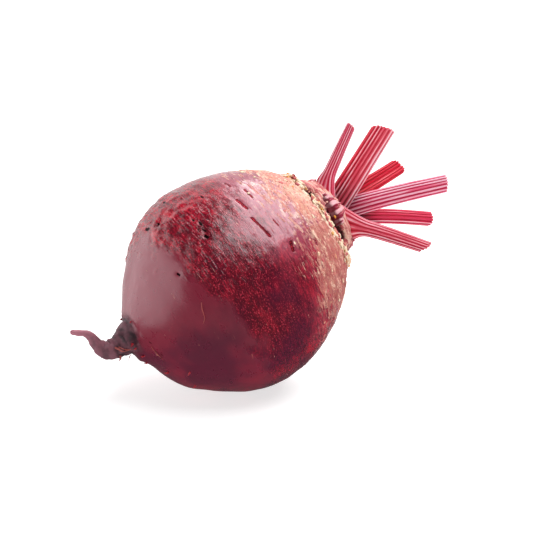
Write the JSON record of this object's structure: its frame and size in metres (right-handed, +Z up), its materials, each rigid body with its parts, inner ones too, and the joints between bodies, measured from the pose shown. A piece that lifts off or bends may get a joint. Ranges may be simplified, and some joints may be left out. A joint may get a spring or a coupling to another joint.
{
  "type": "beetroot",
  "caption": "Whole beetroot lying on its side, with a bent taproot, a corky crown and short cut leaf stalks.",
  "frame": {"origin": "on the small flat spot under the root on which the beetroot rests", "axes": "+Z up, away from the surface it rests on; +X level, from the taproot's end towards the crown and its leaf stalks"},
  "size_m": [0.1534, 0.083, 0.0988],
  "materials": {
    "skin": "satin",
    "stalk": "satin",
    "old_leaf_base": "matte"
  },
  "bodies": {
    "root": {"root": "skin", "leaf_stalk_1": "stalk", "leaf_stalk_2": "stalk", "leaf_stalk_3": "stalk", "leaf_stalk_4": "stalk", "leaf_stalk_5": "stalk", "leaf_stalk_6": "stalk", "old_leaf_base_1": "old_leaf_base", "old_leaf_base_2": "old_leaf_base", "old_leaf_base_3": "old_leaf_base", "old_leaf_base_4": "old_leaf_base", "old_leaf_base_5": "old_leaf_base", "old_leaf_base_6": "old_leaf_base"}
  },
  "joints": []
}
